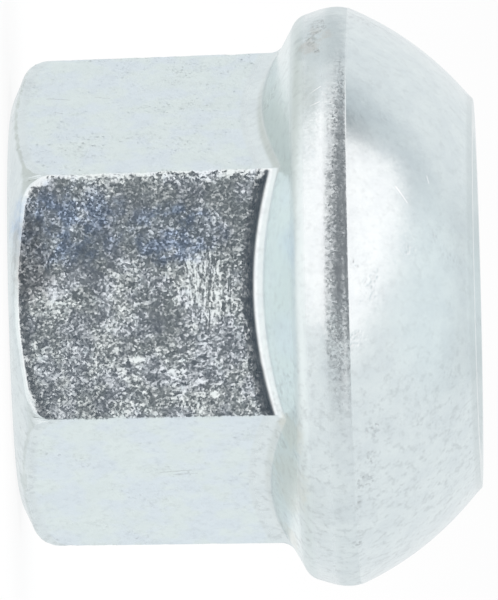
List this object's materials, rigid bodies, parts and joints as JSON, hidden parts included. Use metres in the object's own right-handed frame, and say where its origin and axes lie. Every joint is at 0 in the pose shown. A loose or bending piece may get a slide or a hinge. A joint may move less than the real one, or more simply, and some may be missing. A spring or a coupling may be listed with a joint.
{
  "type": "lug nut",
  "caption": "Open-ended hexagon wheel nut with a domed collar and a ball seat, threaded through, bright zinc plated steel.",
  "frame": {"origin": "centre of the hexagon's end face, on the bore's axis", "axes": "+Z along the bore from the hexagon's end towards the ball seat; two of the hexagon's flats face -Y and +Y, two of its corners point along -X and +X"},
  "size_m": [0.0326, 0.0326, 0.0261],
  "materials": {
    "zinc_plated_steel": "bright zinc plate with a clear blue passivate over forged steel, finely grained on the flats"
  },
  "bodies": {
    "root": {"lug_nut": "zinc_plated_steel"}
  },
  "joints": []
}
